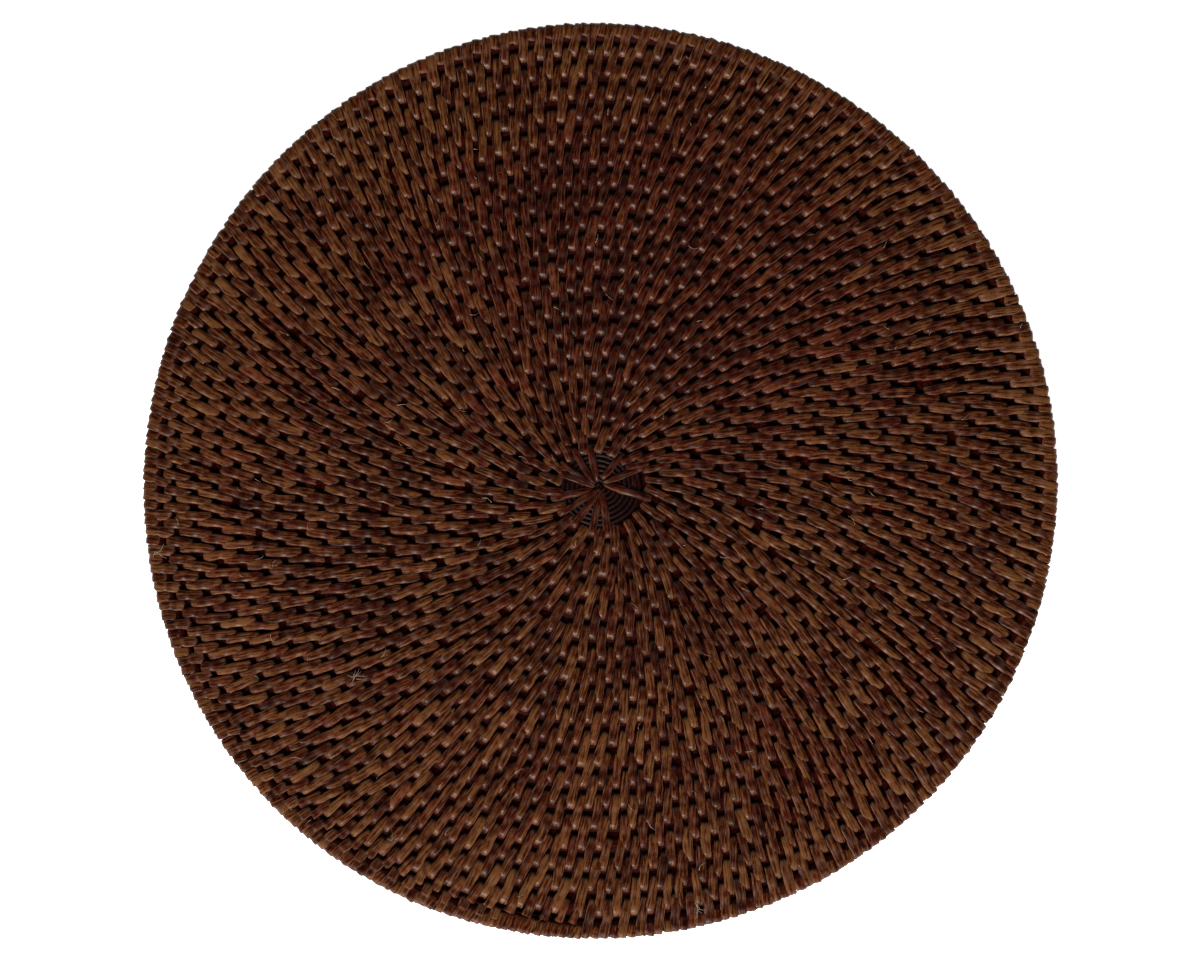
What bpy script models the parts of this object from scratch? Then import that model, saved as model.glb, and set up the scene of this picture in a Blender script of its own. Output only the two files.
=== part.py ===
"""Round rattan placemat: one coil wound flat in a spiral, held by a border coil.

Metres, +Z up. The origin is the middle of the underside, and both faces are alike.
The coil starts at the eye and winds outward counter-clockwise, seen from above.
"""

import math

import bmesh
import bpy

# Whole mat
DIAMETER = 0.356
THICKNESS = 0.0065
PIECE_GAP = 0.0003

# Border coil
BORDER_WIDTH = 0.0074
BORDER_STEPS = 84
BORDER_ARC_STEPS = 6
BORDER_ARC_SHARE = 0.42
BORDER_CREST_SHARE = 0.22

# Coil of the field: its pitch, and the groove left between neighbouring turns
COIL_PITCH = 0.00824
GROOVE_DEPTH = 0.0013
CREST_START = 0.28
CREST_END = 0.72
NARROW_DROP = 0.0012
STEPS_PER_TURN = 42

# The coil starts thin. Columns: turn, radius of the groove inside that turn at angle 0.
FIRST_GROOVES = (
    (1.0, 0.0105),
    (2.0, 0.0163),
    (3.0, 0.0222),
    (4.0, 0.0304),
)

# The coil's end, tucked under the border at this angle, and the last bit where it thins out
LAST_WHOLE_TURN = 20
TAIL_ANGLE_DEG = 268.0
TAIL_TURNS = 0.07

# Past the angle of that end, the turns inside it lie further out, as they take up its width
SPREAD = 0.0017
SPREAD_RISE_TURNS = 0.05
SPREAD_TURNS = 0.35
SPREAD_KEPT = 0.55

# Brings the middle of the uneven outline's box onto the origin
CENTRE = (-0.00044, -0.00052)

# The eye in the middle of the spiral, a little off the centre of the outline
EYE_OFFSET = (0.0, -0.0020)
EYE_CREST_SHARE = 0.72
CENTRING_POWER = 6.0

# Handmade unevenness. Columns: waves in a turn, height, angle of a crest in degrees,
# and how fast the wave fades towards the eye (0 would be not at all).
WAVES = (
    (2, 0.00048, 56.0, 6.0),
    (3, 0.00070, -13.0, 0.5),
    (4, 0.00014, 23.0, 3.0),
    (5, 0.00013, 28.0, 6.0),
)

RATTAN_COLOUR = (0.050, 0.016, 0.0075, 1.0)
BORDER_COLOUR = (0.058, 0.018, 0.0080, 1.0)
RATTAN_ROUGHNESS = 0.5

RIM_RADIUS = DIAMETER / 2
FIELD_RADIUS = RIM_RADIUS - BORDER_WIDTH
FIRST_TURN = FIRST_GROOVES[0][0]
END_TURN = LAST_WHOLE_TURN + TAIL_ANGLE_DEG / 360.0
END_STEP = round((END_TURN - FIRST_TURN) * STEPS_PER_TURN)


def clear_scene():
    for obj in list(bpy.data.objects):
        bpy.data.objects.remove(obj)


def rattan(name, colour):
    material = bpy.data.materials.new(name)
    material.use_nodes = True
    shader = material.node_tree.nodes["Principled BSDF"]
    shader.inputs["Base Color"].default_value = colour
    shader.inputs["Roughness"].default_value = RATTAN_ROUGHNESS
    shader.inputs["Metallic"].default_value = 0.0
    return material


def place(radius, angle):
    """The plan position of a point of the spiral, with the eye's offset and the unevenness."""
    share = min(radius / RIM_RADIUS, 1.0)
    off_centre = 1.0 - share ** CENTRING_POWER
    for count, height, crest_deg, fade in WAVES:
        radius += height * share ** fade * math.cos(count * (angle - math.radians(crest_deg)))
    return (
        CENTRE[0] + EYE_OFFSET[0] * off_centre + radius * math.cos(angle),
        CENTRE[1] + EYE_OFFSET[1] * off_centre + radius * math.sin(angle),
    )


def plain_groove_radius(turn):
    """Radius of the groove inside the coil, where a whole number of turns is at angle 0."""
    last_turn, last_radius = FIRST_GROOVES[-1]
    if turn >= last_turn:
        return last_radius + COIL_PITCH * (turn - last_turn)
    for (turn_a, radius_a), (turn_b, radius_b) in zip(FIRST_GROOVES, FIRST_GROOVES[1:]):
        if turn <= turn_b:
            return radius_a + (radius_b - radius_a) * (turn - turn_a) / (turn_b - turn_a)


def spread(turn):
    """How much further out a groove lies just past the angle of the coil's end, less so further in."""
    turns_inside = math.floor(END_TURN - turn)
    past_end = turns_inside + 1.0 - (END_TURN - turn)
    rise = min(past_end / SPREAD_RISE_TURNS, 1.0)
    fall = max(0.0, 1.0 - past_end / SPREAD_TURNS)
    return SPREAD * SPREAD_KEPT ** turns_inside * rise * fall


def groove_radius(turn):
    """The groove's radius: past the coil's end it is the field's edge, met by the thinning tail."""
    if turn >= END_TURN:
        return FIELD_RADIUS
    radius = plain_groove_radius(turn) + spread(turn)
    along_tail = max(0.0, 1.0 - (END_TURN - turn) / TAIL_TURNS)
    return radius + (FIELD_RADIUS - radius) * along_tail ** 2


def turn_at(step):
    return FIRST_TURN + step / STEPS_PER_TURN


def angle_at(step):
    return 2.0 * math.pi * turn_at(step)


class Face:
    """One face of the field, upper or lower, in a shared bmesh."""

    def __init__(self, mesh, upper):
        self.mesh = mesh
        self.upper = upper
        self.grooves = [self.vertex(groove_radius(turn_at(step)), step, GROOVE_DEPTH)
                        for step in range(END_STEP + STEPS_PER_TURN)]
        self.grooves.append(self.grooves[END_STEP])
        self.crests = [self.crest(step) for step in range(END_STEP)]
        self.crests.append((self.grooves[END_STEP], self.grooves[END_STEP]))

    def vertex(self, radius, step, inset):
        """A point this far in from the mat's upper or lower face."""
        x, y = place(radius, angle_at(step))
        return self.mesh.verts.new((x, y, THICKNESS - inset if self.upper else inset))

    def crest(self, step):
        """The two edges of the coil's flat crest. A thin stretch of coil lies a little lower."""
        turn = turn_at(step)
        inner = groove_radius(turn)
        width = groove_radius(turn + 1.0) - inner
        drop = NARROW_DROP * max(0.0, 1.0 - width / COIL_PITCH)
        return tuple(self.vertex(inner + width * share, step, drop) for share in (CREST_START, CREST_END))

    def polygon(self, *corners):
        """A polygon given counter-clockwise from above, without the corners that fall together."""
        different = list(dict.fromkeys(corners))
        if len(different) > 2:
            self.mesh.faces.new(different if self.upper else different[::-1])

    def strip(self, inner, outer):
        """Polygons between two lines of points along the coil."""
        for step in range(len(inner) - 1):
            self.polygon(inner[step], outer[step], outer[step + 1], inner[step + 1])

    def wind(self):
        """The coil's inner slope, flat crest and outer slope, all along the spiral."""
        rising = [pair[0] for pair in self.crests]
        falling = [pair[1] for pair in self.crests]
        self.strip(self.grooves[:END_STEP + 1], rising)
        self.strip(rising, falling)
        self.strip(falling, self.grooves[STEPS_PER_TURN:])

    def close_eye(self):
        """The flat eye: a disc, the slope down to its groove, and the start of the coil."""
        radii = [EYE_CREST_SHARE * groove_radius(turn_at(step)) for step in range(STEPS_PER_TURN)]
        ring = [self.vertex(radius, step, 0.0) for step, radius in enumerate(radii)]
        self.strip(ring, self.grooves[:STEPS_PER_TURN])
        middle = self.vertex(0.0, 0, 0.0)
        for step, corner in enumerate(ring):
            self.polygon(middle, corner, ring[(step + 1) % STEPS_PER_TURN])
        start = (
            self.grooves[STEPS_PER_TURN - 1],
            self.grooves[STEPS_PER_TURN],
            self.crests[0][1],
            self.crests[0][0],
            self.grooves[0],
            ring[0],
        )
        for corner, following in zip(start, start[1:]):
            self.polygon(ring[-1], corner, following)


def finish_object(name, mesh, material):
    data = bpy.data.meshes.new(name)
    mesh.to_mesh(data)
    mesh.free()
    data.shade_smooth()
    data.set_sharp_from_angle(angle=math.radians(50.0))
    data.materials.append(material)
    obj = bpy.data.objects.new(name, data)
    bpy.context.scene.collection.objects.link(obj)
    return obj


def coiled_field(material):
    mesh = bmesh.new()
    upper = Face(mesh, True)
    lower = Face(mesh, False)
    for face in (upper, lower):
        face.wind()
        face.close_eye()
    for step in range(END_STEP, END_STEP + STEPS_PER_TURN):
        mesh.faces.new((
            lower.grooves[step],
            lower.grooves[step + 1],
            upper.grooves[step + 1],
            upper.grooves[step],
        ))
    return finish_object("coiled_field", mesh, material)


def border_section():
    """The border's cross-section, as radius and height, counter-clockwise with radius to the right."""
    inner = FIELD_RADIUS + PIECE_GAP
    width = RIM_RADIUS - inner
    arc = BORDER_ARC_SHARE * width
    crest = inner + BORDER_CREST_SHARE * width
    points = [(inner, THICKNESS - GROOVE_DEPTH), (inner, GROOVE_DEPTH), (crest, 0.0)]
    for step in range(BORDER_ARC_STEPS + 1):
        turn = math.pi * (step / BORDER_ARC_STEPS - 0.5)
        points.append((RIM_RADIUS - arc + arc * math.cos(turn), THICKNESS / 2 * (1.0 + math.sin(turn))))
    points.append((crest, THICKNESS))
    return points


def border_coil(material):
    mesh = bmesh.new()
    rings = []
    for step in range(BORDER_STEPS):
        angle = 2.0 * math.pi * step / BORDER_STEPS
        rings.append([mesh.verts.new((*place(radius, angle), height)) for radius, height in border_section()])
    for ring, following in zip(rings, rings[1:] + rings[:1]):
        for corner in range(len(ring)):
            mesh.faces.new((ring[corner], ring[corner - 1], following[corner - 1], following[corner]))
    return finish_object("border_coil", mesh, material)


def main():
    clear_scene()
    coiled_field(rattan("rattan", RATTAN_COLOUR))
    border_coil(rattan("border_rattan", BORDER_COLOUR))


main()
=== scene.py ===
"""The looks of the rattan placemat: every split strip, the rods they are stitched round, and the light.

Metres, +Z up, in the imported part's frame. The spiral's law is the one in part.py. A turn is a whole
number where the spiral crosses +X; a groove lies inside the coil of each turn.
"""

import math

import bpy
import numpy as np
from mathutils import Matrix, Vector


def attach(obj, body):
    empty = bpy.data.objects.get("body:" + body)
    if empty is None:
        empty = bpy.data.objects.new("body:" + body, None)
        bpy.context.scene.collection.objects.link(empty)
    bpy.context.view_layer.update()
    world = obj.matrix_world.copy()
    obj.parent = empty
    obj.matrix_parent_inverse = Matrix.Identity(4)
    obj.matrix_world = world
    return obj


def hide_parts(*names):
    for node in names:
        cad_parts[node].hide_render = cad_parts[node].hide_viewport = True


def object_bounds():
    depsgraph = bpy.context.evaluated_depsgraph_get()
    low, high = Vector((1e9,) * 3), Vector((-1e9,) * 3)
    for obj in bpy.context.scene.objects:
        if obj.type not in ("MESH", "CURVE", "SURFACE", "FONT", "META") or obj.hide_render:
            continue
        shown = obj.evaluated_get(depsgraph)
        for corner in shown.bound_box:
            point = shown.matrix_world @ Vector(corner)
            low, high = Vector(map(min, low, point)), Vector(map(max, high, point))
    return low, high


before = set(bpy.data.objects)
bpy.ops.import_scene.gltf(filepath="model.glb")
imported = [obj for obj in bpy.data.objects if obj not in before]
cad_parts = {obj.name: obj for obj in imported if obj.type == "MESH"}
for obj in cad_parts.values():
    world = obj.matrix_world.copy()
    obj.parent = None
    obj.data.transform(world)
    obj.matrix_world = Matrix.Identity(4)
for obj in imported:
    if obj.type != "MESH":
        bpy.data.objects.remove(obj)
cad_low, cad_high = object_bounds()

MM = 0.001
FULL_TURN = 2.0 * math.pi

# Whole mat, as in part.py
DIAMETER = 0.356
THICKNESS = cad_high.z - cad_low.z
BORDER_WIDTH = 7.4 * MM
COIL_PITCH = 8.24 * MM
RIM_RADIUS = DIAMETER / 2
FIELD_RADIUS = RIM_RADIUS - BORDER_WIDTH
MIDDLE_HEIGHT = THICKNESS / 2

# The coil starts thin. Columns: turn, radius of the groove inside that turn at angle 0.
FIRST_GROOVES = (
    (1.0, 10.5 * MM),
    (2.0, 16.3 * MM),
    (3.0, 22.2 * MM),
    (4.0, 30.4 * MM),
)
END_TURN = 20 + 268.0 / 360.0
TAIL_TURNS = 0.07

# Past the angle of that end, the turns inside it lie further out
SPREAD = 1.7 * MM
SPREAD_RISE_TURNS = 0.05
SPREAD_TURNS = 0.35
SPREAD_KEPT = 0.55

# Placing of the uneven outline and of the eye, as in part.py
CENTRE = (-0.44 * MM, -0.52 * MM)
EYE_OFFSET = (0.0, -2.0 * MM)
CENTRING_POWER = 6.0
WAVES = (
    (2, 0.48 * MM, 56.0, 6.0),
    (3, 0.70 * MM, -13.0, 0.5),
    (4, 0.14 * MM, 23.0, 3.0),
    (5, 0.13 * MM, 28.0, 6.0),
)

# Angles of the spokes that start the coil, and the stitches in each turn, spokes first, border last
SPOKES_DEG = (26, 53, 107, 127, 150, 165, 195, 217, 237, 265, 282, 350)
STITCHES_PER_TURN = (12, 17, 31, 32, 43, 45, 53, 67, 70, 75, 92, 93, 100, 115, 116, 117, 135, 141,
                     149, 150, 159)

# Split strips: size, and how much single ones differ
STRIP_WIDTH = 4.2 * MM
SPOKE_WIDTH = 3.0 * MM
BORDER_STRIP_WIDTH = 4.1 * MM
STRIP_THICKNESS = 0.85 * MM
WIDEST_SHARE = 1.1
WIDTH_TO_SPACING = 0.55
BORDER_WIDTH_TO_SPACING = 1.12
CROWN_HEIGHT = MIDDLE_HEIGHT - 0.43 * MM
CROWN_SPREAD = 0.22 * MM
BOW_SPREAD = 0.20 * MM
TAPER = 0.09
EDGE_ROUGHNESS = 0.05
ROUGHNESS_CARRIED_ON = 0.6
CROWN_ROUGHNESS = 0.05
SPLIT_SHARE = 0.5
SPLIT_DEPTHS = (0.15, 0.6)
SPLIT_GAPING = 0.8
SPLIT_GAPING_SPREAD = 0.3
SPLIT_GAPING_MOST = 1.2
STRAND_LENGTH = 16

# How a strip turns down into the grooves: how short of the next groove it ends and how long its
# bend is, as shares of the coil's width, then the bend's squareness, where 1 is a quarter circle
DIVE_SHARE = 0.155
REACH_SHARE = 0.50
RIM_REACH = 2.9 * MM
SQUARENESS = 0.68
GROOVE_DIP = 0.33 * MM
HOOK = 0.2 * MM
DIVING_WIDTH = 0.90
FULL_WIDTH_FROM = 1 / 1.3

# Round the eye: where the spokes start, how narrow strips get, and how loosely they lie
SPOKE_START = 0.6 * MM
SPOKE_START_SPREAD = 2.0 * MM
EYE_STRIP_WIDTH = 0.7 * MM
EYE_WIDENING = 0.33
LOOSENESS = 0.16 * MM
EYE_LOOSENESS = 0.5 * MM
EYE_LOOSE_RADIUS = 14.0 * MM
LENGTHWISE_LOOSENESS = 1.5

# Short wraps of the border, between its long stitches, and where the border's strand closes
WRAP_END = 1.9 * MM
WRAP_END_SPREAD = 0.2 * MM
WRAP_OUTER_REACH = 2.1 * MM
WRAP_INNER_REACH = 1.6 * MM
CLOSING_TURNS = 0.15
RIM_INSET = 0.3 * STRIP_THICKNESS
RIM_SPREAD = 0.05 * MM

# The last bit of the coil is thin: the border's wraps bind it in, and stitches end at those wraps
BOUND_TURNS = 0.03
BOUND_REACH = 1.6 * MM

# Broken fibres: sizes in metres, angles in radians, and the shares of the mat's area that single
# ones lie between. Columns of the tufts: angle in degrees, radius.
SINGLE_FIBRES = 150
FIBRES_PER_TUFT = 9
FIBRE_RINGS = 5
FIBRE_SIDES = 3
FIBRE_RADIUS = 0.13 * MM
FIBRE_LENGTHS = (1.4 * MM, 4.6 * MM)
FIBRE_RISES = (0.1 * MM, 0.8 * MM)
FIBRE_LIFT = 0.3 * MM
FIBRE_TAPER = 0.7
FIBRE_SPREAD = 0.45
FIBRE_BEND = 0.5
FIBRE_AREA = (0.01, 0.96)
TUFT_SPREAD = 0.35 * MM
TUFTS = (
    (240.0, 159.5 * MM),
    (189.0, 174.0 * MM),
    (283.0, 170.0 * MM),
    (218.0, 120.0 * MM),
)

# How far the strips lean clockwise, going outward. Each leans more than its column does.
STRIP_LEAN_DEG = 13.0
SPOKE_LEAN_DEG = 3.0
LEAN_SPREAD_DEG = 2.5

# How much of the way a stitch's end moves towards the middle of the gap that it heads for
GAP_PULL = 0.5

# How far the columns of stitches lean. Columns of the table: radius, lean in degrees.
COLUMN_LEANS = (
    (0.0, 3.0),
    (30.0 * MM, 9.0),
    (105.0 * MM, 9.0),
    (120.0 * MM, 7.0),
    (178.0 * MM, 7.0),
)

# Evening out of the stitches: how many rounds, and the weight of even gaps along the turn.
# Where two stitches share a gap, they stand a little closer than even.
EVENING_ROUNDS = 150
BESIDE_SHARE = 0.6
CLOSER = 0.3

# Section of a strip, as shares of its width and thickness: crown, edges and back. Then which of
# the two rough edges moves each point, and where the back's points lie in the strip's pattern.
SECTION = np.array((
    (-0.50, -0.20),
    (-0.44, 0.12),
    (-0.24, 0.37),
    (0.00, 0.46),
    (0.24, 0.37),
    (0.44, 0.12),
    (0.50, -0.20),
    (0.30, -0.42),
    (-0.30, -0.42),
))
EDGE_OF_POINT = (0, 0, 0, 0, 1, 1, 1, 1, 0)
BACK_PLACES = (0.75, 1.25, 1.5)

# Empty edge of each stitch's tile in the map without overlaps
TILE_MARGIN = 0.05

# Strips are lighter towards the rim
RIM_LIGHTER = 0.26
EYE_DARKER = 0.15

# Parts of the mat made of redder or paler strips. Columns: x, y and size as shares of the mat's
# radius, then how much lighter and how much yellower.
ZONES = (
    (0.06, 0.52, 0.29, -0.32, -0.90),
    (0.45, 0.38, 0.28, -0.12, -0.50),
    (-0.62, 0.40, 0.30, 0.10, 0.05),
    (-0.40, -0.62, 0.30, 0.10, 0.10),
    (0.00, -0.01, 0.10, -0.10, -0.35),
)

EYE = (CENTRE[0] + EYE_OFFSET[0], CENTRE[1] + EYE_OFFSET[1])

rng = np.random.default_rng(8)


def waved(radius, angle):
    """Plan positions, with the eye's offset and the handmade unevenness."""
    share = np.clip(radius / RIM_RADIUS, 0.0, 1.0)
    off_centre = 1.0 - share ** CENTRING_POWER
    for count, height, crest_deg, fade in WAVES:
        radius = radius + height * share ** fade * np.cos(count * (angle - math.radians(crest_deg)))
    return np.stack((
        CENTRE[0] + EYE_OFFSET[0] * off_centre + radius * np.cos(angle),
        CENTRE[1] + EYE_OFFSET[1] * off_centre + radius * np.sin(angle),
    ), axis=-1)


def groove_radius(turn):
    """Radius of the groove inside the coil at each turn; past the coil's end, the field's edge."""
    turn = np.asarray(turn, float)
    turns, radii = np.array(FIRST_GROOVES).T
    radius = np.where(
        turn < turns[-1],
        np.interp(turn, turns, radii),
        radii[-1] + COIL_PITCH * (turn - turns[-1]),
    )
    turns_inside = np.floor(END_TURN - turn)
    past_end = turns_inside + 1.0 - (END_TURN - turn)
    rise = np.minimum(past_end / SPREAD_RISE_TURNS, 1.0)
    fall = np.maximum(1.0 - past_end / SPREAD_TURNS, 0.0)
    radius = radius + SPREAD * SPREAD_KEPT ** np.maximum(turns_inside, 0.0) * rise * fall
    along_tail = np.clip(1.0 - (END_TURN - turn) / TAIL_TURNS, 0.0, 1.0)
    radius = radius + (FIELD_RADIUS - radius) * along_tail ** 2
    return np.where(turn >= END_TURN, FIELD_RADIUS, radius)


def column_lean(radius):
    radii, leans = np.array(COLUMN_LEANS).T
    return np.radians(np.interp(radius, radii, leans))


def strip_leans(count):
    return np.radians(rng.normal(STRIP_LEAN_DEG, LEAN_SPREAD_DEG, count))


def stitch_turns():
    """Where each stitch crosses its groove, in turns, and where its two ends head for. Each gap
    between two stitches of the turn before takes one, and now and then a wide one takes two."""
    turns = [1.0 + angle / 360.0 for angle in SPOKES_DEG]
    turns.append(turns[0] + 1.0)
    spokes = len(turns)
    middles = 1.5 + np.arange(len(STITCHES_PER_TURN))
    owed = 0.0
    gap = 0
    links = []
    while turns[-1] < END_TURN + 1.0:
        here, following = turns[gap], turns[gap + 1]
        middle = (here + following) / 2 + 1.0
        radius = float(groove_radius(middle))
        step = radius - float(groove_radius(middle - 1.0))
        setback = step * math.tan(float(column_lean(radius))) / radius / FULL_TURN
        if middle - setback > turns[-1]:
            owed += (following - here) * float(np.interp(middle, middles, STITCHES_PER_TURN))
            number = max(1, math.floor(owed + 0.5))
            owed -= number
            for place in 0.5 + (np.arange(number) - (number - 1) / 2) / (number + CLOSER):
                turns.append(here + (following - here) * place + 1.0 - setback)
                links.append((gap, place, setback))
        gap += 1
    return evened(np.array(turns), spokes, np.array(links))


def evened(turns, spokes, links):
    """Moves stitches a little, towards even gaps along the turn and towards the middle of the gaps
    that they sit in and that they make. Gives the turns, and those middles inside and outside."""
    gap, place, setback = links.T
    gap = gap.astype(int)
    number = np.arange(len(turns))
    left = np.searchsorted(gap, number - 1, side="right") - 1
    right = np.searchsorted(gap, number, side="left")
    parent = (left >= 0) & (right < len(gap))
    left, right = left[parent], right[parent]
    moved_parent = parent[spokes:]
    for _ in range(EVENING_ROUNDS):
        held = turns[gap] * (1.0 - place) + turns[gap + 1] * place + 1.0 - setback
        back = turns[spokes:] - 1.0 + setback
        made = held.copy()
        made[moved_parent] = ((back[left] + back[right]) / 2)[number[parent] >= spokes]
        beside = (turns[spokes - 1:-1] + np.append(turns[spokes + 1:], 2.0 * turns[-1] - turns[-2])) / 2
        turns[spokes:] = (1.0 - BESIDE_SHARE) / 2 * (held + made) + BESIDE_SHARE * beside
    inside = np.full(len(turns), np.nan)
    outside = np.full(len(turns), np.nan)
    inside[spokes:] = turns[gap] * (1.0 - place) + turns[gap + 1] * place
    outside[parent] = (turns[spokes + left] + turns[spokes + right]) / 2
    return turns, inside, outside


def heading(turns, place, straight, along_column):
    """From each stitch's crossing to its end: straight, and drawn towards the gap that it heads for
    by how far that gap is off the columns' usual way."""
    known = np.isfinite(turns)
    angle = np.where(known, turns, 0.0) * FULL_TURN
    there = waved(groove_radius(np.where(known, turns, 1.0)), angle)
    return straight + GAP_PULL * np.where(known[:, None], there - place - along_column, 0.0)


def unit(vectors):
    return vectors / np.linalg.norm(vectors, axis=-1, keepdims=True)


def directions(angle):
    return np.stack((np.cos(angle), np.sin(angle)), axis=-1)


def turned(plan, way):
    """Plan directions after a quarter turn, counter-clockwise for 1 and clockwise for -1."""
    return plan[:, ::-1] * (-way, way)


def raised(plan, height):
    """Points from plan positions and heights."""
    return np.concatenate((plan, np.broadcast_to(height, plan.shape[:-1])[..., None]), axis=-1)


def width_shares(count, spread, narrowest):
    """How wide each stitch is beside the usual width."""
    return np.clip(rng.normal(1.0, spread, count), narrowest, WIDEST_SHARE)


# Rings along one crossing of the coils: rounding at each end as angles, shares of the flat between
TOP_CORNER = np.radians((0.0, 22.0, 45.0, 68.0, 90.0))
TOP_BETWEEN = np.array((0.25, 0.5, 0.75))
LOW_CORNER = np.radians((0.0, 40.0, 90.0))
LOW_BETWEEN = np.array((0.5,))


def crossing(start, end, aside, first_reach, last_reach, height, dip, corner, between):
    """Middle lines from one dive to the next, without the last ring: shares of the way, heights.
    Their ends are hooked sideways, as a strip goes on round the coil while it dives."""
    length = np.linalg.norm(end - start, axis=-1, keepdims=True)
    forth = 1.0 - np.cos(corner) ** SQUARENESS
    rise = np.sin(corner) ** SQUARENESS
    flat = length - first_reach - last_reach
    distance = np.concatenate((
        first_reach * forth,
        first_reach + flat * between,
        length - last_reach * forth[:0:-1],
    ), axis=1)
    lift = np.concatenate((
        height * rise,
        height - dip * np.sin(math.pi * between) ** 4,
        height * rise[:0:-1],
    ), axis=1)
    share = distance / length
    to_middle = 1.0 - 2.0 * share
    hook = HOOK * (to_middle - to_middle ** 5)
    line = start[:, None] + (end - start)[:, None] * share[..., None]
    return line + aside[:, None] * hook[..., None], share, lift


class Strips:
    """Pieces of split strip. Per piece: rings of points, how high each ring lies as a share of the
    crown's height, and tones."""

    def __init__(self, points, upright, tones):
        self.points = points
        self.upright = upright
        self.tones = tones

    def part(self, chosen):
        return Strips(self.points[chosen], self.upright[chosen], self.tones[chosen])

    def along(self):
        """How far along its piece each ring lies, and the start of the next piece after the last."""
        line = self.points.mean(axis=2)
        count, rings, _ = line.shape
        flat = line.reshape(-1, 3)
        steps = np.linalg.norm(np.diff(flat, axis=0, append=flat[-1:]), axis=-1).reshape(count, rings)
        return np.concatenate((np.zeros((count, 1)), np.cumsum(steps, axis=1)), axis=1)


def swept(line, sides, outward, across, flat):
    """Rings of points round the middle line of each piece, with rough edges and lengthwise splits."""
    count, rings = across.shape
    crown = np.repeat(SECTION[None, None, :, 1], count, axis=0)
    crown[..., 1:6] += rng.normal(0.0, CROWN_ROUGHNESS, (count, 1, 5))
    depth = (rng.random(count) < SPLIT_SHARE) * rng.uniform(*SPLIT_DEPTHS, count)
    place = np.eye(3)[rng.integers(0, 3, count) - 1]
    gaping = rng.normal(SPLIT_GAPING, SPLIT_GAPING_SPREAD, (count, rings))
    gaping = np.clip(gaping, 0.0, SPLIT_GAPING_MOST)
    crown = np.repeat(crown, rings, axis=1)
    crown[..., 2:5] -= (depth[:, None] * gaping)[..., None] * place[:, None]
    rough = rng.normal(0.0, EDGE_ROUGHNESS, (count, rings, 2))
    edges = 1.0 + rough + ROUGHNESS_CARRIED_ON * np.roll(rough, 1, axis=1)
    aside = across[..., None] * SECTION[:, 0] * edges[..., EDGE_OF_POINT]
    above = crown * flat[..., None] * STRIP_THICKNESS
    shift = sides[:, :, None] * aside[..., None]
    lift = outward[:, :, None] * above[..., None]
    return line[:, :, None] + shift + lift


def strand_frame(middle, top_side, low_side, top_rings):
    """Directions across and out of a strand at each ring; halfway between, where stitches meet."""
    low_rings = middle.shape[1] - top_rings
    sides = np.concatenate((
        np.repeat(top_side[:, None], top_rings, axis=1),
        np.repeat(low_side[:, None], low_rings, axis=1),
    ), axis=1)
    sides[:, 0] = unit(top_side + np.roll(low_side, 1, axis=0))
    sides[:, top_rings] = unit(top_side + low_side)
    sides[0, 0] = top_side[0]
    sides = raised(sides, 0.0)
    forward = unit(np.gradient(middle.reshape(-1, 3), axis=0)).reshape(middle.shape)
    sides = unit(sides - forward * (sides * forward).sum(axis=-1, keepdims=True))
    return sides, unit(np.cross(sides, forward))


def stitched(outer, inner, outer_reach, inner_reach, width, dip):
    """The stitches of one strand, in order. Each comes up outside, runs inward over the coils,
    dives, and goes back outward underneath to where the next comes up."""
    count = len(outer)
    aside = turned(unit(inner - outer), -1)
    outer, inner = outer - HOOK * aside, inner + HOOK * aside
    following = np.concatenate((outer[1:], 2.0 * outer[-1:] - outer[-2:-1]))
    height = CROWN_HEIGHT - rng.uniform(0.0, CROWN_SPREAD, (count, 1))
    low = CROWN_HEIGHT - rng.uniform(0.0, CROWN_SPREAD, (count, 1))
    outer_reach, inner_reach, dip = outer_reach[:, None], inner_reach[:, None], dip[:, None]
    top_side = turned(unit(inner - outer), -1)
    low_side = turned(unit(following - inner), 1)
    top, share, lift = crossing(outer, inner, top_side, outer_reach, inner_reach, height, dip,
                                TOP_CORNER, TOP_BETWEEN)
    under, _, drop = crossing(inner, following, low_side, inner_reach, outer_reach, low, dip,
                              LOW_CORNER, LOW_BETWEEN)
    bow = rng.normal(0.0, BOW_SPREAD, (count, 1)) * 4.0 * share * (1.0 - share)
    top = top + top_side[:, None] * bow[..., None]
    over = raised(top, MIDDLE_HEIGHT + lift)
    back = raised(under, MIDDLE_HEIGHT - drop)
    middle = np.concatenate((over, back), axis=1)
    sides, outward = strand_frame(middle, top_side, low_side, top.shape[1])
    upright = np.concatenate((lift / height, drop / low), axis=1)
    inward_and_back = np.concatenate((
        np.linspace(-1.0, 1.0, top.shape[1]),
        np.linspace(1.0, -1.0, under.shape[1]),
    ))
    taper = 1.0 + rng.normal(0.0, TAPER, (count, 1)) * inward_and_back
    across = width[:, None] * taper * np.interp(upright, (0.0, FULL_WIDTH_FROM), (DIVING_WIDTH, 1.0))
    from_eye = np.linalg.norm(middle[..., :2] - EYE, axis=-1)
    across = np.minimum(across, EYE_STRIP_WIDTH + EYE_WIDENING * from_eye)
    points = swept(middle, sides, outward, across, 0.5 + 0.5 * upright)
    return Strips(points, upright, tones(outer))


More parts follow.
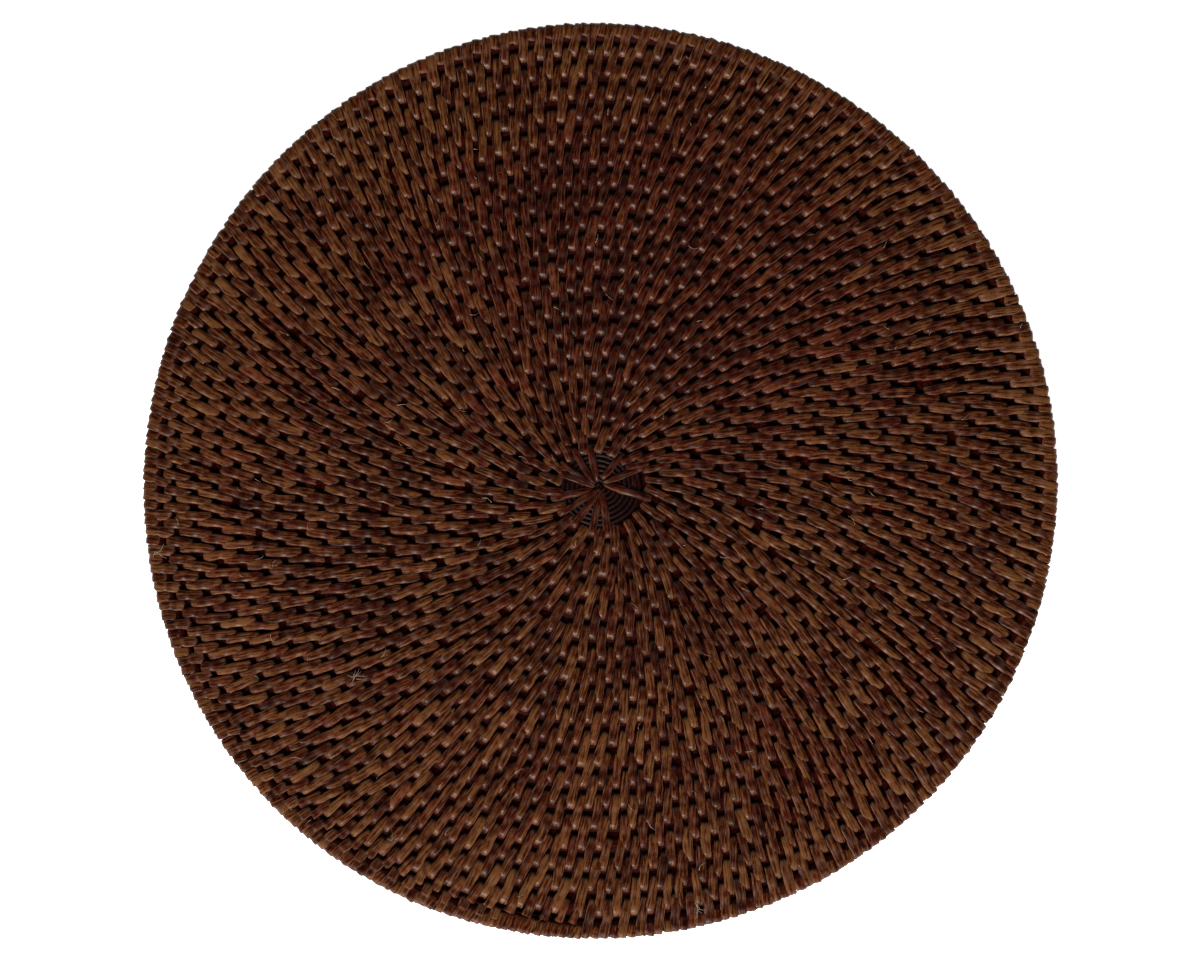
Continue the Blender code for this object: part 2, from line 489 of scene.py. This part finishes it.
def tones(places):
    """Per stitch: lightness, hue and a seed. One length of strip makes a run of like stitches, and
    part of the mat is made of redder, darker strips than the rest."""
    count = len(places)
    run = np.cumsum(rng.random(count) < 1.0 / STRAND_LENGTH)
    by_run = rng.random((run[-1] + 1, 2))[run]
    own = rng.random((count, 2))
    values = 0.5 * by_run + 0.5 * own
    places = places / RIM_RADIUS
    values[:, 0] += RIM_LIGHTER * np.linalg.norm(places, axis=-1) - EYE_DARKER
    for x, y, size, lighter, yellower in ZONES:
        near = np.exp(-((places - (x, y)) ** 2).sum(axis=-1) / size ** 2)
        values += near[:, None] * (lighter, yellower)
    return np.concatenate((np.clip(values, 0.0, 1.0), rng.random((count, 1))), axis=1)


def add_mesh(name, points, blocks, material):
    """An object from points and from blocks of faces, each block with its own number of corners."""
    corners = np.concatenate([block.ravel() for block in blocks])
    sizes = np.concatenate([np.full(len(block), block.shape[1]) for block in blocks])
    mesh = bpy.data.meshes.new(name)
    mesh.vertices.add(len(points))
    mesh.vertices.foreach_set("co", points.astype(np.float32).ravel())
    mesh.loops.add(len(corners))
    mesh.loops.foreach_set("vertex_index", corners.astype(np.int32))
    mesh.polygons.add(len(sizes))
    mesh.polygons.foreach_set("loop_start", (np.cumsum(sizes) - sizes).astype(np.int32))
    mesh.update(calc_edges=True)
    mesh.shade_smooth()
    mesh.materials.append(material)
    obj = bpy.data.objects.new(name, mesh)
    bpy.context.scene.collection.objects.link(obj)
    return obj


def tube_faces(long, round_):
    """Faces of a tube of this many rings, with a cap at each end."""
    index = np.arange(long * round_).reshape(long, round_)
    beside = np.roll(index, -1, axis=1)
    quads = np.stack((index[:-1], beside[:-1], beside[1:], index[1:]), axis=-1).reshape(-1, 4)
    return [quads, np.stack((index[0, ::-1], index[-1]))]


def add_strips(name, strips, material):
    """One strand as a mesh, with the map and the tints that its material reads."""
    count, rings, round_, _ = strips.points.shape
    points = strips.points.reshape(-1, 3)
    obj = add_mesh(name, points, tube_faces(count * rings, round_), material)
    ring = np.arange(count * rings - 1)[:, None, None]
    stitch, place = np.divmod(ring, rings)
    place = place + np.array((0, 0, 1, 1))
    turn = np.arange(round_)[None, :, None] + np.array((0, 1, 1, 0))
    around = np.append(SECTION[:7, 0], BACK_PLACES)
    across = around[turn] + 0.0 * place
    along = strips.along()[stitch, place] / MM + 0.0 * turn
    add_map(obj, "Strip", across, along)
    columns = math.ceil(math.sqrt(count))
    column, row = np.divmod(stitch, columns)
    tile_u = (column + TILE_MARGIN + (1.0 - 2.0 * TILE_MARGIN) * turn / round_) / columns + 0.0 * place
    tile_v = (row + TILE_MARGIN + (1.0 - 2.0 * TILE_MARGIN) * place / rings) / columns + 0.0 * turn
    add_map(obj, "OFBake", tile_u, tile_v)
    tint = obj.data.attributes.new("tint", "FLOAT_COLOR", "POINT")
    values = np.concatenate((
        np.broadcast_to(strips.tones[:, None], (count, rings, 3)),
        strips.upright[..., None],
    ), axis=-1)
    values = np.repeat(values.reshape(-1, 4), round_, axis=0)
    tint.data.foreach_set("color", values.astype(np.float32).ravel())
    return obj


def add_map(obj, name, u, v):
    """A UV map over a tube's quads; its end caps, which nothing shows, stay at the map's corner."""
    uv = np.zeros((len(obj.data.loops), 2), np.float32)
    uv[:u.size, 0] = u.ravel()
    uv[:v.size, 1] = v.ravel()
    obj.data.uv_layers.new(name=name).data.foreach_set("uv", uv.ravel())


def field_stitches(turns, inside, outside):
    """Stitches over two coils: the coil outside the groove that each crosses, and the one inside."""
    count = len(turns)
    angle = turns * FULL_TURN
    middle = groove_radius(turns)
    outer_coil = groove_radius(turns + 1.0) - middle
    spoke = turns < 2.0
    inner_coil = middle - groove_radius(np.maximum(turns - 1.0, 1.0))
    lean = np.where(spoke, math.radians(SPOKE_LEAN_DEG), strip_leans(count))
    way = directions(angle - lean)
    column = directions(angle - column_lean(middle))
    side = directions(angle - lean + FULL_TURN / 4)
    place = waved(middle, angle)
    outward = heading(outside, place, way * outer_coil[:, None], column * outer_coil[:, None])
    inward = heading(inside, place, -way * inner_coil[:, None], -column * inner_coil[:, None])
    spoke_reach = middle - SPOKE_START - rng.uniform(0.0, SPOKE_START_SPREAD, count)
    inward = np.where(spoke[:, None], -way * spoke_reach[:, None] / (1.0 - DIVE_SHARE), inward)
    loose = LOOSENESS + EYE_LOOSENESS * np.exp(-middle / EYE_LOOSE_RADIUS)
    shift = (rng.normal(0.0, 1.0, (4, count)) * loose)[..., None]
    inward = inward * (1.0 - DIVE_SHARE) + side * shift[0] + way * LENGTHWISE_LOOSENESS * shift[1]
    outward = outward * (1.0 - DIVE_SHARE) + side * shift[2] + way * LENGTHWISE_LOOSENESS * shift[3]
    bound = turns > END_TURN - BOUND_TURNS
    outward = np.where(bound[:, None], way * BOUND_REACH, outward)
    spacing = FULL_TURN * middle * np.gradient(turns)
    width = np.where(spoke, SPOKE_WIDTH, STRIP_WIDTH) * width_shares(count, spread=0.07, narrowest=0.8)
    return stitched(
        outer=place + outward,
        inner=place + inward,
        outer_reach=REACH_SHARE * outer_coil,
        inner_reach=np.where(spoke, REACH_SHARE * COIL_PITCH, REACH_SHARE * inner_coil),
        width=np.minimum(width, WIDTH_TO_SPACING * spacing),
        dip=np.full(count, GROOVE_DIP),
    )


def border_stitches(turns, inside):
    """The border's strand: a long stitch over two coils and a short wrap over one, by turns, but only
    wraps where they bind in the coil's end. The last stitch would come where the first one is, so
    those just before it move a little to meet it."""
    miss = turns[0] + 1.0 - turns[-1]
    turns = turns + miss * np.clip((turns - turns[-1]) / CLOSING_TURNS + 1.0, 0.0, 1.0)
    turns = np.stack((turns[:-1], (turns[:-1] + turns[1:]) / 2), axis=-1).ravel()
    inside = np.stack((inside[:-1], np.full(len(inside) - 1, np.nan)), axis=-1).ravel()
    count = len(turns)
    bound = turns - 1.0 > END_TURN - BOUND_TURNS
    long_one = (np.arange(count) % 2 == 0) & ~bound
    angle = turns * FULL_TURN
    lean = strip_leans(count)
    way = directions(angle - lean)
    column = directions(angle - column_lean(FIELD_RADIUS))
    place = waved(np.full(count, FIELD_RADIUS), angle)
    inner_coil = (FIELD_RADIUS - groove_radius(turns - 1.0))[:, None]
    inward = heading(inside, place, -way * inner_coil, -column * inner_coil)
    wrap_end = way * (WRAP_END - np.where(bound[:, None], inner_coil, 0.0))
    inward = np.where(long_one[:, None], inward * (1.0 - DIVE_SHARE), wrap_end)
    inward = inward + way * rng.normal(0.0, WRAP_END_SPREAD, (count, 1))
    outward = BORDER_WIDTH - RIM_INSET + rng.normal(0.0, RIM_SPREAD, count)
    spacing = FULL_TURN * RIM_RADIUS * np.gradient(turns)
    width = BORDER_STRIP_WIDTH * width_shares(count, spread=0.05, narrowest=0.85)
    strips = stitched(
        outer=place + way * (outward / np.cos(lean))[:, None],
        inner=place + inward,
        outer_reach=np.where(long_one, RIM_REACH, WRAP_OUTER_REACH),
        inner_reach=np.where(long_one, REACH_SHARE * COIL_PITCH, WRAP_INNER_REACH),
        width=np.minimum(width, BORDER_WIDTH_TO_SPACING * spacing),
        dip=np.where(long_one, GROOVE_DIP, 0.0),
    )
    strips.points[-1, -1] = strips.points[0, 0]
    return strips


def stray_fibres(material):
    """Broken fibres that stand off the strips, singly and in a few tufts."""
    singles = RIM_RADIUS * np.sqrt(rng.uniform(*FIBRE_AREA, SINGLE_FIBRES))
    radius = np.append(singles, np.repeat([spot[1] for spot in TUFTS], FIBRES_PER_TUFT))
    angle = np.append(rng.uniform(0.0, FULL_TURN, SINGLE_FIBRES),
                      np.radians(np.repeat([spot[0] for spot in TUFTS], FIBRES_PER_TUFT)))
    count = len(radius)
    start = waved(radius, angle) + rng.normal(0.0, TUFT_SPREAD, (count, 2))
    way = angle + math.pi * rng.integers(0, 2, count) + rng.normal(0.0, FIBRE_SPREAD, count)
    share = np.linspace(0.0, 1.0, FIBRE_RINGS)
    bend = way[:, None] + rng.normal(0.0, FIBRE_BEND, (count, 1)) * share
    length = rng.uniform(*FIBRE_LENGTHS, (count, 1))
    plan = start[:, None] + directions(bend) * (length * share)[..., None]
    rise = rng.uniform(*FIBRE_RISES, (count, 1)) * share * (1.6 - share)
    line = raised(plan, MIDDLE_HEIGHT + CROWN_HEIGHT + FIBRE_LIFT + rise)
    forward = unit(np.gradient(line, axis=1))
    side = unit(np.cross(forward, (0.0, 0.0, 1.0)))
    above = np.cross(side, forward)
    around = -np.arange(FIBRE_SIDES)[:, None] / FIBRE_SIDES * FULL_TURN
    offset = side[:, :, None] * np.cos(around) + above[:, :, None] * np.sin(around)
    points = line[:, :, None] + offset * (FIBRE_RADIUS * (1.0 - FIBRE_TAPER * share))[:, None, None]
    first = (np.arange(count) * FIBRE_RINGS * FIBRE_SIDES)[:, None, None]
    one = tube_faces(FIBRE_RINGS, FIBRE_SIDES)
    blocks = [(block + first).reshape(-1, block.shape[1]) for block in one]
    return add_mesh("stray_fibres", points.reshape(-1, 3), blocks, material)


# Rods of the coil: how many show across it, points across each, and the step along it
RODS_ACROSS = 4
POINTS_PER_ROD = 3
ROD_STEP = 4.5 * MM
ROD_STEP_ANGLE = 0.25
ROD_TOP = CROWN_HEIGHT - 0.45 * MM
ROD_FOOT = 0.5 * MM
ROD_RELIEF = 0.32 * MM
ROD_OVERLAP = 0.02
DOME_START = 0.15
DOME_END = 0.75
TURN_SAMPLES = 8000

# The border's rods, as one ring with an oval section
BORDER_ROD_INSET = 0.9 * MM
BORDER_ROD_STEPS = 240
BORDER_ROD_SIDES = 20
BORDER_ROD_SQUARENESS = 0.7

# A thin rod in the eye, on each face. It starts past the very middle, so that no hole is left there.
EYE_ROD_PITCH = 1.9 * MM
EYE_ROD_THICKNESS = 1.02 * EYE_ROD_PITCH
EYE_ROD_DROP = 0.1 * MM
EYE_ROD_START = -0.38
EYE_ROD_END = 8.42
EYE_ROD_TURNED = 0.12
EYE_ROD_STEP = 1 / 28
EYE_ROD_SIDES = 10


def coil_section(top, foot, relief):
    """Shares across the coil, and heights above the mat's middle: a low dome of parallel rods."""
    share = np.arange(RODS_ACROSS * POINTS_PER_ROD + 1) / (RODS_ACROSS * POINTS_PER_ROD)
    off_crest = np.abs(2.0 * share - 1.0)
    slope = np.clip((off_crest - DOME_START) / (DOME_END - DOME_START), 0.0, 1.0)
    slope = slope * slope * (3.0 - 2.0 * slope)
    height = top - (top - foot) * slope
    return share, height - relief * (1.0 - np.abs(np.sin(math.pi * RODS_ACROSS * share)))


def rod_turns():
    """Turns at which the rods' mesh has a ring: an even step, shorter round the eye."""
    fine = np.linspace(1.0, END_TURN, TURN_SAMPLES)
    radius = groove_radius(fine)
    density = FULL_TURN * radius / np.minimum(ROD_STEP, ROD_STEP_ANGLE * radius)
    rings = np.concatenate(((0.0,), np.cumsum((density[1:] + density[:-1]) / 2 * np.diff(fine))))
    return np.interp(np.arange(int(rings[-1]) + 1), rings, fine)


def coil_rods(material):
    """The field's rods as one long corrugated tube, wound as the spiral is."""
    turns = rod_turns()
    share, height = coil_section(ROD_TOP, ROD_FOOT, ROD_RELIEF)
    inner = groove_radius(turns)[:, None]
    outer = groove_radius(turns + 1.0)[:, None]
    radius = inner + (outer - inner) * ((1.0 + 2.0 * ROD_OVERLAP) * share - ROD_OVERLAP)
    plan = waved(radius, turns[:, None] * FULL_TURN)
    upper = raised(plan, MIDDLE_HEIGHT + height)
    lower = raised(plan, MIDDLE_HEIGHT - height)
    rings = np.concatenate((upper[:, ::-1], lower), axis=1)
    return add_mesh("coil_rods", rings.reshape(-1, 3), tube_faces(*rings.shape[:2]), material)


def eye_rods(material, side):
    """One thin rod wound tightly from the middle; side is 1 on the upper face, -1 on the lower."""
    turns = np.arange(EYE_ROD_START, EYE_ROD_END, EYE_ROD_STEP)[:, None]
    around = np.arange(EYE_ROD_SIDES) / EYE_ROD_SIDES * FULL_TURN
    half = EYE_ROD_THICKNESS / 2
    radius = turns * EYE_ROD_PITCH + half * np.cos(around)
    plan = waved(radius, (turns - EYE_ROD_TURNED) * FULL_TURN)
    rings = raised(plan, MIDDLE_HEIGHT + side * (ROD_TOP - half - EYE_ROD_DROP + half * np.sin(around)))
    if side > 0:
        rings = rings[:, ::-1]
    name = "eye_rod_upper" if side > 0 else "eye_rod_lower"
    return add_mesh(name, rings.reshape(-1, 3), tube_faces(*rings.shape[:2]), material)


def border_rods(material):
    """The border's rods, as a closed ring."""
    shape = (BORDER_ROD_STEPS, BORDER_ROD_SIDES)
    angle = (np.arange(BORDER_ROD_STEPS) / BORDER_ROD_STEPS * FULL_TURN)[:, None]
    around = np.arange(BORDER_ROD_SIDES) / BORDER_ROD_SIDES * FULL_TURN
    half_width = (BORDER_WIDTH - BORDER_ROD_INSET) / 2
    radius = FIELD_RADIUS + half_width + half_width * np.cos(around)
    height = ROD_TOP * np.sign(np.sin(around)) * np.abs(np.sin(around)) ** BORDER_ROD_SQUARENESS
    rings = raised(waved(np.broadcast_to(radius, shape), angle), MIDDLE_HEIGHT + height)
    index = np.arange(BORDER_ROD_STEPS * BORDER_ROD_SIDES).reshape(shape)
    ahead = np.roll(index, -1, axis=0)
    quads = np.stack((index, ahead, np.roll(ahead, -1, axis=1), np.roll(index, -1, axis=1)), axis=-1)
    return add_mesh("border_rods", rings.reshape(-1, 3), [quads.reshape(-1, 4)], material)


# Materials: the scale of a strip's fibres across it, the gloss of its flat and of its bends, the
# colour of painted shade in the strips' dives, and of pale rubbed skin that is partly a painted
# highlight. The plain gloss is the value that the gloss socket holds under its link.
PATTERN_WIDTH = 3.4
FLAT_GLOSS = 0.015
BEND_GLOSS = 0.11
PLAIN_GLOSS = 0.05
DEEP_PAINTED_SHADE = (0.003, 0.0008, 0.0005, 1.0)
RUBBED_FIBRE_AND_HIGHLIGHT = (0.20, 0.112, 0.078, 1.0)


class Nodes:
    """Short ways to add nodes to a material."""

    def __init__(self, name):
        self.material = bpy.data.materials.new(name)
        self.material.use_nodes = True
        self.tree = self.material.node_tree
        self.shader = self.tree.nodes["Principled BSDF"]

    def add(self, kind, *values, **settings):
        """A node with these settings, and these values or links in its first inputs."""
        node = self.tree.nodes.new(kind)
        for name, value in settings.items():
            setattr(node, name, value)
        for socket, value in zip(node.inputs, values):
            self.put(socket, value)
        return node

    def put(self, socket, value):
        if isinstance(value, bpy.types.NodeSocket):
            self.tree.links.new(value, socket)
        else:
            socket.default_value = value

    def math(self, operation, *values):
        return self.add("ShaderNodeMath", *values, operation=operation).outputs[0]

    def noise(self, vector, scale, detail):
        node = self.add("ShaderNodeTexNoise", vector)
        node.inputs["Scale"].default_value = scale
        node.inputs["Detail"].default_value = detail
        return node.outputs["Fac"]

    def remap(self, value, low, high, to_low, to_high):
        return self.add("ShaderNodeMapRange", value, low, high, to_low, to_high).outputs["Result"]

    def mix(self, share, first, second):
        node = self.add("ShaderNodeMix", data_type="RGBA")
        self.put(node.inputs[0], share)
        self.put(node.inputs[6], first)
        self.put(node.inputs[7], second)
        return node.outputs[2]

    def ramp(self, value, *stops):
        node = self.add("ShaderNodeValToRGB", value)
        elements = node.color_ramp.elements
        while len(elements) < len(stops):
            elements.new(0.5)
        for element, (place, colour) in zip(elements, stops):
            element.position = place
            element.color = (*colour, 1.0)
        return node.outputs["Color"]


def strip_material(name, brightness, rubbing_and_highlight, dive_shade):
    """Dyed split rattan: fibre streaks along the strip, red-brown to gold, a glossy skin. Its dives get
    painted shade, and its pale rubbed ends and edges are partly a painted highlight.
    """
    n = Nodes(name)
    place = n.add("ShaderNodeUVMap", uv_map="Strip").outputs[0]
    share, along, _ = n.add("ShaderNodeSeparateXYZ", place).outputs
    across = n.math("MULTIPLY", share, PATTERN_WIDTH)
    tint = n.add("ShaderNodeAttribute", attribute_name="tint")
    tone, hue, seed = n.add("ShaderNodeSeparateColor", tint.outputs["Color"]).outputs
    upright = tint.outputs["Alpha"]
    apart = n.math("MULTIPLY", seed, 400.0)

    def fibres(wide, long, detail):
        vector = n.add(
            "ShaderNodeCombineXYZ",
            n.math("MULTIPLY", across, wide),
            n.math("MULTIPLY", along, long),
            apart,
        ).outputs[0]
        return n.noise(vector, 1.0, detail)

    def shades(*stops):
        return [(place, tuple(brightness * part for part in colour)) for place, colour in stops]

    broad = fibres(1.5, 0.11, 1.5)
    fine = fibres(4.0, 0.28, 4.0)
    blotch = fibres(0.5, 0.45, 3.0)
    speck = fibres(3.2, 2.6, 1.0)
    streak = n.math("ADD", n.math("MULTIPLY", broad, 0.62), n.math("MULTIPLY", fine, 0.38))
    spread = n.remap(streak, 0.36, 0.64, -0.62, 0.62)
    patches = n.remap(blotch, 0.3, 0.7, -0.14, 0.14)
    specks = n.remap(speck, 0.3, 0.7, -0.12, 0.12)
    uneven = n.math("ADD", n.math("ADD", spread, patches), specks)
    lightness = n.math("ADD", n.remap(tone, 0.0, 1.0, 0.20, 0.85), uneven)
    red = n.ramp(lightness, *shades(
        (0.0, (0.005, 0.0003, 0.0002)),
        (0.5, (0.023, 0.0017, 0.0005)),
        (1.0, (0.066, 0.0160, 0.0054)),
    ))
    gold = n.ramp(lightness, *shades(
        (0.0, (0.006, 0.0005, 0.0002)),
        (0.5, (0.026, 0.0042, 0.0007)),
        (1.0, (0.076, 0.0285, 0.0078)),
    ))
    golden = n.math(
        "ADD",
        n.remap(hue, 0.10, 0.55, 0.0, 1.0),
        n.remap(blotch, 0.35, 0.65, -0.5, 0.5),
    )
    skin = n.mix(n.math("MAXIMUM", golden, 0.0), red, gold)
    # Pale skin at the strips' bends and edges: partly real rubbing, partly a painted highlight where
    # the bends catch the light.
    end = n.remap(upright, 1.0, 0.8, 0.0, 0.6)
    edge = n.remap(n.math("ABSOLUTE", share), 0.36, 0.48, 0.0, 1.0)
    scuffs_and_highlight = n.remap(fine, 0.40, 0.62, 0.1 * rubbing_and_highlight, 1.15 * rubbing_and_highlight)
    rubbed_and_highlit_mask = n.math("MULTIPLY", n.math("MAXIMUM", end, edge), scuffs_and_highlight)
    rubbed_and_highlit = n.mix(rubbed_and_highlit_mask, skin, RUBBED_FIBRE_AND_HIGHLIGHT)
    # Painted shade: strips darken towards the bottom of their dives into the grooves.
    painted_shade = n.remap(upright, 0.15, 0.7, dive_shade, 0.0)
    n.put(n.shader.inputs["Base Color"], n.mix(painted_shade, rubbed_and_highlit, DEEP_PAINTED_SHADE))
    n.put(n.shader.inputs["Roughness"], n.remap(upright, 1.0, 0.9, 0.50, 0.34))
    gloss = n.math(
        "MINIMUM",
        n.remap(upright, 1.0, 0.9, FLAT_GLOSS, BEND_GLOSS),
        n.remap(upright, 0.75, 0.45, BEND_GLOSS, 0.0),
    )
    n.shader.inputs["Specular IOR Level"].default_value = PLAIN_GLOSS
    n.put(n.shader.inputs["Specular IOR Level"], gloss)
    n.shader.inputs["Specular Tint"].default_value = (1.0, 0.84, 0.72, 1.0)
    bump = n.add("ShaderNodeBump")
    bump.inputs["Strength"].default_value = 0.5
    bump.inputs["Distance"].default_value = 0.035 * MM
    n.put(bump.inputs["Height"], n.math("ADD", broad, fine))
    n.put(n.shader.inputs["Normal"], bump.outputs["Normal"])
    return n.material


def rod_material(name, dark, light, gloss):
    """Dyed rods inside the coil, seen between the strips and in the eye. They are coloured nearly
    black, which paints the shade in the holes between the strips.
    """
    n = Nodes(name)
    grain = n.noise(n.add("ShaderNodeTexCoord").outputs["Object"], 900.0, 3.0)
    n.put(n.shader.inputs["Base Color"], n.ramp(grain, (0.35, dark), (0.70, light)))
    n.put(n.shader.inputs["Roughness"], n.remap(grain, 0.3, 0.7, 0.4, 0.6))
    n.shader.inputs["Specular IOR Level"].default_value = gloss
    return n.material


def plain_fibre():
    """Broken fibre, paler inside than the dyed skin."""
    n = Nodes("stray_fibre")
    grain = n.noise(n.add("ShaderNodeTexCoord").outputs["Object"], 300.0, 2.0)
    n.put(n.shader.inputs["Base Color"], n.ramp(
        grain,
        (0.35, (0.10, 0.050, 0.025)),
        (0.65, (0.30, 0.210, 0.140)),
    ))
    n.shader.inputs["Roughness"].default_value = 0.6
    return n.material


def floor_material():
    """A plain pale floor. It glows, because the photo's is pure white without a shadow."""
    n = Nodes("pale_floor")
    grain = n.noise(n.add("ShaderNodeTexCoord").outputs["Object"], 60.0, 2.0)
    n.put(n.shader.inputs["Base Color"], n.ramp(
        grain,
        (0.0, (0.90, 0.90, 0.90)),
        (1.0, (0.93, 0.93, 0.93)),
    ))
    n.shader.inputs["Roughness"].default_value = 0.9
    n.shader.inputs["Emission Color"].default_value = (1.0, 1.0, 1.0, 1.0)
    n.shader.inputs["Emission Strength"].default_value = FLOOR_GLOW
    return n.material


# Camera and light. Columns of the lamps: name, angle and rise in degrees, size, power.
PHOTO_WIDTH = 1200
PIXEL = 0.3892 * MM
LENS = 100.0
SENSOR_WIDTH = 36.0
VIEW_CENTRE = (-0.2 * MM, -0.1 * MM)
FLOOR_SIDE = 4.0
LAMP_DISTANCE = 2.2
LAMPS = (
    ("key", 255.0, 41.0, 1.1, 128.0),
    ("fill", 75.0, 50.0, 1.4, 4.0),
)
FLOOR_GLOW = 0.95
SKY_AT_HORIZON = 0.45
SKY_OVERHEAD = 0.03
SKY_OVERHEAD_FROM = 0.6
SKY_COLOUR = (1.0, 0.86, 0.72, 1.0)


def add_floor():
    """A plain pale floor, just under the lowest crests."""
    side = FLOOR_SIDE / 2
    corners = np.array((
        (-side, -side, 0.0),
        (side, -side, 0.0),
        (side, side, 0.0),
        (-side, side, 0.0),
    ))
    floor = add_mesh("floor", corners, [np.array(((0, 1, 2, 3),))], floor_material())


def add_lamp(name, angle_deg, rise_deg, size, power):
    """A soft round lamp that looks at the mat. Its angle is seen from above, from +X."""
    light = bpy.data.lights.new(name, "AREA")
    light.shape = "DISK"
    light.size = size
    light.energy = power
    lamp = bpy.data.objects.new(name, light)
    angle, rise = math.radians(angle_deg), math.radians(rise_deg)
    lamp.location = (
        LAMP_DISTANCE * math.cos(rise) * math.cos(angle),
        LAMP_DISTANCE * math.cos(rise) * math.sin(angle),
        LAMP_DISTANCE * math.sin(rise),
    )
    lamp.rotation_euler = (-lamp.location).to_track_quat("-Z", "Y").to_euler()
    bpy.context.scene.collection.objects.link(lamp)


def add_sky():
    """A warm white studio, bright at its walls and dark overhead."""
    world = bpy.data.worlds.new("studio")
    world.use_nodes = True
    tree = world.node_tree
    direction = tree.nodes.new("ShaderNodeTexCoord")
    split = tree.nodes.new("ShaderNodeSeparateXYZ")
    fade = tree.nodes.new("ShaderNodeMapRange")
    fade.inputs["From Max"].default_value = SKY_OVERHEAD_FROM
    fade.inputs["To Min"].default_value = SKY_AT_HORIZON
    fade.inputs["To Max"].default_value = SKY_OVERHEAD
    tree.links.new(direction.outputs["Generated"], split.inputs[0])
    tree.links.new(split.outputs["Z"], fade.inputs["Value"])
    tree.links.new(fade.outputs["Result"], tree.nodes["Background"].inputs["Strength"])
    tree.nodes["Background"].inputs["Color"].default_value = SKY_COLOUR
    bpy.context.scene.world = world


def add_camera():
    """Straight above, so far off that the picture is as wide as the photo."""
    camera = bpy.data.cameras.new("camera")
    camera.lens = LENS
    camera.sensor_width = SENSOR_WIDTH
    obj = bpy.data.objects.new("camera", camera)
    distance = PHOTO_WIDTH * PIXEL * LENS / SENSOR_WIDTH
    obj.location = (*VIEW_CENTRE, MIDDLE_HEIGHT + distance)
    bpy.context.scene.collection.objects.link(obj)
    bpy.context.scene.camera = obj
    bpy.context.scene.view_settings.view_transform = "Standard"


# The strand is cut into lengths at these turns
FIELD_CUTS = (1.0, 10.0, 14.0, 17.0, 19.0, 21.0)


def main():
    # The rods' colours are nearly black as painted shade, so that the holes between the strips read as
    # deep.
    rods = rod_material("coil_rods", (0.005, 0.0004, 0.0002), (0.020, 0.0020, 0.0008), 0.01)
    thin_rods = rod_material("eye_rods", (0.002, 0.0003, 0.0002), (0.009, 0.0020, 0.0012), 0.06)
    fibre = plain_fibre()
    # The last two numbers: pale rubbing that is partly a painted highlight, and painted shade in the
    # dives.
    strips = strip_material("split_rattan", 1.0, 0.28, 1.0)
    edge_strips = strip_material("border_split_rattan", 0.98, 0.50, 0.3)
    turns, inside, outside = stitch_turns()
    in_field = turns < END_TURN
    field_turns = turns[in_field]
    field = field_stitches(field_turns, inside[in_field], outside[in_field])
    lengths = []
    for number, (start, end) in enumerate(zip(FIELD_CUTS, FIELD_CUTS[1:]), 1):
        chosen = (field_turns >= start) & (field_turns < end)
        piece = add_strips(f"field_strip_{number}", field.part(chosen), strips)
        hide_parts("coiled_field")
        lengths.append(piece)
    core = coil_rods(rods)
    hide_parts("coiled_field")
    border = border_stitches(turns[~in_field], inside[~in_field])
    wrapping = add_strips("border_strip", border, edge_strips)
    ring = border_rods(rods)
    eye = [eye_rods(thin_rods, side) for side in (1, -1)]
    fibres = stray_fibres(fibre)
    for piece in (*eye, fibres):
        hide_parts("coiled_field")
    for piece in (wrapping, ring):
        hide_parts("border_coil")
    pieces = (*lengths, core, *eye, fibres, wrapping, ring)
    for piece in pieces:
        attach(piece, "root")
    add_floor()
    for lamp in LAMPS:
        add_lamp(*lamp)
    add_sky()
    add_camera()


main()
